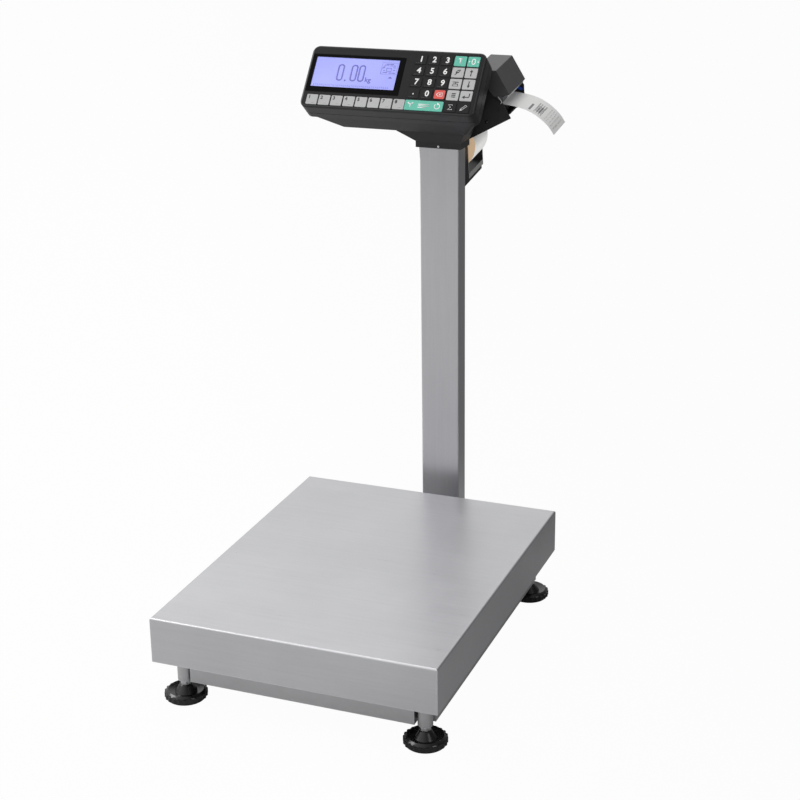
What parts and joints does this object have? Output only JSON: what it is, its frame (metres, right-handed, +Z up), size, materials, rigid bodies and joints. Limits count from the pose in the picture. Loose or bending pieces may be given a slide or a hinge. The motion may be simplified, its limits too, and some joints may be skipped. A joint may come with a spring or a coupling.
{
  "type": "label printing scale",
  "caption": "Platform weighing scale with a folded stainless pan, four levelling feet, a rear column, a leaning terminal with display and keypad, and a label printer behind it.",
  "frame": {"origin": "on the floor, at the middle of the footprint", "axes": "+Z up, +X to the right of a person at the keypad, +Y towards the column at the back"},
  "size_m": [0.4, 0.6826, 0.7871],
  "materials": {
    "stainless": "brushed",
    "frame_steel": "satin",
    "zinc_steel": "satin",
    "cell_aluminium": "machined",
    "black_rubber": "matt",
    "foot_plastic": "knurled, slightly glossy",
    "case_plastic": "fine grain",
    "film": "matt film",
    "screen": "backlit screen",
    "board": "circuit board",
    "key_black": "matt film",
    "key_grey": "matt film",
    "key_green": "matt film",
    "key_red": "matt film",
    "dark_paint": "fine textured paint",
    "cover_paint": "fine textured paint",
    "tray_paint": "satin",
    "head_metal": "cast",
    "lever_plastic": "moulded",
    "paper": "matt paper"
  },
  "bodies": {
    "base": {"base_frame": "frame_steel", "fasteners": "zinc_steel", "pan_bumpers": "black_rubber", "upper_frame": "frame_steel", "load_cell": "cell_aluminium", "column": "stainless", "cell_cable": "black_rubber", "rear_case": "case_plastic", "front_case": "case_plastic", "keypad_film": "film", "display_module": "screen", "main_board": "board", "printer_chassis": "dark_paint", "roll_holder": "tray_paint", "label_strip": "paper"},
    "pan": {"platform_pan": "stainless"},
    "lock_nut_front_left": {"lock_nut_front_left": "zinc_steel"},
    "foot_front_left": {"foot_front_left": "foot_plastic"},
    "lock_nut_front_right": {"lock_nut_front_right": "zinc_steel"},
    "foot_front_right": {"foot_front_right": "foot_plastic"},
    "lock_nut_rear_left": {"lock_nut_rear_left": "zinc_steel"},
    "foot_rear_left": {"foot_rear_left": "foot_plastic"},
    "lock_nut_rear_right": {"lock_nut_rear_right": "zinc_steel"},
    "foot_rear_right": {"foot_rear_right": "foot_plastic"},
    "key_quick_1": {"key_quick_1": "key_grey"},
    "key_quick_2": {"key_quick_2": "key_grey"},
    "key_quick_3": {"key_quick_3": "key_grey"},
    "key_quick_4": {"key_quick_4": "key_grey"},
    "key_quick_5": {"key_quick_5": "key_grey"},
    "key_quick_6": {"key_quick_6": "key_grey"},
    "key_quick_7": {"key_quick_7": "key_grey"},
    "key_quick_8": {"key_quick_8": "key_grey"},
    "key_menu": {"key_menu": "key_green"},
    "key_sum": {"key_sum": "key_black"},
    "key_edit": {"key_edit": "key_black"},
    "key_point": {"key_point": "key_black"},
    "key_num_0": {"key_num_0": "key_black"},
    "key_delete": {"key_delete": "key_red"},
    "key_lookup": {"key_lookup": "key_grey"},
    "key_enter": {"key_enter": "key_grey"},
    "key_num_7": {"key_num_7": "key_black"},
    "key_num_8": {"key_num_8": "key_black"},
    "key_num_9": {"key_num_9": "key_black"},
    "key_net": {"key_net": "key_grey"},
    "key_down": {"key_down": "key_grey"},
    "key_num_4": {"key_num_4": "key_black"},
    "key_num_5": {"key_num_5": "key_black"},
    "key_num_6": {"key_num_6": "key_black"},
    "key_percent": {"key_percent": "key_grey"},
    "key_up": {"key_up": "key_grey"},
    "key_num_1": {"key_num_1": "key_black"},
    "key_num_2": {"key_num_2": "key_black"},
    "key_num_3": {"key_num_3": "key_black"},
    "key_tare": {"key_tare": "key_green"},
    "key_zero": {"key_zero": "key_green"},
    "cover": {"printer_cover": "cover_paint"},
    "platen": {"platen_roller": "black_rubber"},
    "head": {"print_head": "head_metal"},
    "lever": {"release_lever": "lever_plastic"},
    "roll": {"label_roll": "paper"}
  },
  "joints": [
    {"name": "pan_lift", "type": "slide", "parent": "base", "child": "pan", "axis": [0, 0, 1], "range_m": [0, 0.08]},
    {"name": "foot_travel_front_left", "type": "slide", "parent": "base", "child": "lock_nut_front_left", "axis": [0, 0, -1], "range_m": [0, 0.01]},
    {"name": "foot_turn_front_left", "type": "hinge", "parent": "lock_nut_front_left", "child": "foot_front_left", "pos_m": [-0.171, -0.30735, 0], "axis": [0, 0, -1], "range_deg": [0, 2880]},
    {"name": "foot_travel_front_right", "type": "slide", "parent": "base", "child": "lock_nut_front_right", "axis": [0, 0, -1], "range_m": [0, 0.01]},
    {"name": "foot_turn_front_right", "type": "hinge", "parent": "lock_nut_front_right", "child": "foot_front_right", "pos_m": [0.171, -0.30735, 0], "axis": [0, 0, -1], "range_deg": [0, 2880]},
    {"name": "foot_travel_rear_left", "type": "slide", "parent": "base", "child": "lock_nut_rear_left", "axis": [0, 0, -1], "range_m": [0, 0.01]},
    {"name": "foot_turn_rear_left", "type": "hinge", "parent": "lock_nut_rear_left", "child": "foot_rear_left", "pos_m": [-0.171, 0.13465, 0], "axis": [0, 0, -1], "range_deg": [0, 2880]},
    {"name": "foot_travel_rear_right", "type": "slide", "parent": "base", "child": "lock_nut_rear_right", "axis": [0, 0, -1], "range_m": [0, 0.01]},
    {"name": "foot_turn_rear_right", "type": "hinge", "parent": "lock_nut_rear_right", "child": "foot_rear_right", "pos_m": [0.171, 0.13465, 0], "axis": [0, 0, -1], "range_deg": [0, 2880]},
    {"name": "press_quick_1", "type": "slide", "parent": "base", "child": "key_quick_1", "axis": [0, 0.788, -0.6157], "range_m": [0, 0.0005], "stiffness_N_per_m": 1500},
    {"name": "press_quick_2", "type": "slide", "parent": "base", "child": "key_quick_2", "axis": [0, 0.788, -0.6157], "range_m": [0, 0.0005], "stiffness_N_per_m": 1500},
    {"name": "press_quick_3", "type": "slide", "parent": "base", "child": "key_quick_3", "axis": [0, 0.788, -0.6157], "range_m": [0, 0.0005], "stiffness_N_per_m": 1500},
    {"name": "press_quick_4", "type": "slide", "parent": "base", "child": "key_quick_4", "axis": [0, 0.788, -0.6157], "range_m": [0, 0.0005], "stiffness_N_per_m": 1500},
    {"name": "press_quick_5", "type": "slide", "parent": "base", "child": "key_quick_5", "axis": [0, 0.788, -0.6157], "range_m": [0, 0.0005], "stiffness_N_per_m": 1500},
    {"name": "press_quick_6", "type": "slide", "parent": "base", "child": "key_quick_6", "axis": [0, 0.788, -0.6157], "range_m": [0, 0.0005], "stiffness_N_per_m": 1500},
    {"name": "press_quick_7", "type": "slide", "parent": "base", "child": "key_quick_7", "axis": [0, 0.788, -0.6157], "range_m": [0, 0.0005], "stiffness_N_per_m": 1500},
    {"name": "press_quick_8", "type": "slide", "parent": "base", "child": "key_quick_8", "axis": [0, 0.788, -0.6157], "range_m": [0, 0.0005], "stiffness_N_per_m": 1500},
    {"name": "press_menu", "type": "slide", "parent": "base", "child": "key_menu", "axis": [0, 0.788, -0.6157], "range_m": [0, 0.0005], "stiffness_N_per_m": 1500},
    {"name": "press_sum", "type": "slide", "parent": "base", "child": "key_sum", "axis": [0, 0.788, -0.6157], "range_m": [0, 0.0005], "stiffness_N_per_m": 1500},
    {"name": "press_edit", "type": "slide", "parent": "base", "child": "key_edit", "axis": [0, 0.788, -0.6157], "range_m": [0, 0.0005], "stiffness_N_per_m": 1500},
    {"name": "press_point", "type": "slide", "parent": "base", "child": "key_point", "axis": [0, 0.788, -0.6157], "range_m": [0, 0.0005], "stiffness_N_per_m": 1500},
    {"name": "press_num_0", "type": "slide", "parent": "base", "child": "key_num_0", "axis": [0, 0.788, -0.6157], "range_m": [0, 0.0005], "stiffness_N_per_m": 1500},
    {"name": "press_delete", "type": "slide", "parent": "base", "child": "key_delete", "axis": [0, 0.788, -0.6157], "range_m": [0, 0.0005], "stiffness_N_per_m": 1500},
    {"name": "press_lookup", "type": "slide", "parent": "base", "child": "key_lookup", "axis": [0, 0.788, -0.6157], "range_m": [0, 0.0005], "stiffness_N_per_m": 1500},
    {"name": "press_enter", "type": "slide", "parent": "base", "child": "key_enter", "axis": [0, 0.788, -0.6157], "range_m": [0, 0.0005], "stiffness_N_per_m": 1500},
    {"name": "press_num_7", "type": "slide", "parent": "base", "child": "key_num_7", "axis": [0, 0.788, -0.6157], "range_m": [0, 0.0005], "stiffness_N_per_m": 1500},
    {"name": "press_num_8", "type": "slide", "parent": "base", "child": "key_num_8", "axis": [0, 0.788, -0.6157], "range_m": [0, 0.0005], "stiffness_N_per_m": 1500},
    {"name": "press_num_9", "type": "slide", "parent": "base", "child": "key_num_9", "axis": [0, 0.788, -0.6157], "range_m": [0, 0.0005], "stiffness_N_per_m": 1500},
    {"name": "press_net", "type": "slide", "parent": "base", "child": "key_net", "axis": [0, 0.788, -0.6157], "range_m": [0, 0.0005], "stiffness_N_per_m": 1500},
    {"name": "press_down", "type": "slide", "parent": "base", "child": "key_down", "axis": [0, 0.788, -0.6157], "range_m": [0, 0.0005], "stiffness_N_per_m": 1500},
    {"name": "press_num_4", "type": "slide", "parent": "base", "child": "key_num_4", "axis": [0, 0.788, -0.6157], "range_m": [0, 0.0005], "stiffness_N_per_m": 1500},
    {"name": "press_num_5", "type": "slide", "parent": "base", "child": "key_num_5", "axis": [0, 0.788, -0.6157], "range_m": [0, 0.0005], "stiffness_N_per_m": 1500},
    {"name": "press_num_6", "type": "slide", "parent": "base", "child": "key_num_6", "axis": [0, 0.788, -0.6157], "range_m": [0, 0.0005], "stiffness_N_per_m": 1500},
    {"name": "press_percent", "type": "slide", "parent": "base", "child": "key_percent", "axis": [0, 0.788, -0.6157], "range_m": [0, 0.0005], "stiffness_N_per_m": 1500},
    {"name": "press_up", "type": "slide", "parent": "base", "child": "key_up", "axis": [0, 0.788, -0.6157], "range_m": [0, 0.0005], "stiffness_N_per_m": 1500},
    {"name": "press_num_1", "type": "slide", "parent": "base", "child": "key_num_1", "axis": [0, 0.788, -0.6157], "range_m": [0, 0.0005], "stiffness_N_per_m": 1500},
    {"name": "press_num_2", "type": "slide", "parent": "base", "child": "key_num_2", "axis": [0, 0.788, -0.6157], "range_m": [0, 0.0005], "stiffness_N_per_m": 1500},
    {"name": "press_num_3", "type": "slide", "parent": "base", "child": "key_num_3", "axis": [0, 0.788, -0.6157], "range_m": [0, 0.0005], "stiffness_N_per_m": 1500},
    {"name": "press_tare", "type": "slide", "parent": "base", "child": "key_tare", "axis": [0, 0.788, -0.6157], "range_m": [0, 0.0005], "stiffness_N_per_m": 1500},
    {"name": "press_zero", "type": "slide", "parent": "base", "child": "key_zero", "axis": [0, 0.788, -0.6157], "range_m": [0, 0.0005], "stiffness_N_per_m": 1500},
    {"name": "cover_open", "type": "hinge", "parent": "base", "child": "cover", "pos_m": [0.047, 0.25224, 0.75097], "axis": [0, -0.9903, -0.1392], "range_deg": [0, 80]},
    {"name": "roll_turn", "type": "hinge", "parent": "base", "child": "roll", "pos_m": [-0.004, 0.30405, 0.64818], "axis": [0, -0.9903, -0.1392], "continuous": true},
    {"name": "platen_turn", "type": "hinge", "parent": "base", "child": "platen", "pos_m": [0.076, 0.29601, 0.70532], "axis": [0, -0.9903, -0.1392], "continuous": true},
    {"name": "lever_release", "type": "hinge", "parent": "base", "child": "lever", "pos_m": [0.074, 0.33152, 0.72576], "axis": [0, 0.9903, 0.1392], "range_deg": [0, 50]},
    {"name": "head_lift", "type": "hinge", "parent": "base", "child": "head", "pos_m": [0.066, 0.29208, 0.73334], "axis": [0, -0.9903, -0.1392], "range_deg": [0, 5]}
  ],
  "couplings": [
    {"joint": "foot_turn_front_left", "follows": "foot_travel_front_left", "rad_per_m": 5026.5},
    {"joint": "foot_turn_front_right", "follows": "foot_travel_front_right", "rad_per_m": 5026.5},
    {"joint": "foot_turn_rear_left", "follows": "foot_travel_rear_left", "rad_per_m": 5026.5},
    {"joint": "foot_turn_rear_right", "follows": "foot_travel_rear_right", "rad_per_m": 5026.5},
    {"joint": "platen_turn", "follows": "roll_turn", "ratio": 5},
    {"joint": "lever_release", "follows": "head_lift", "ratio": 10}
  ]
}
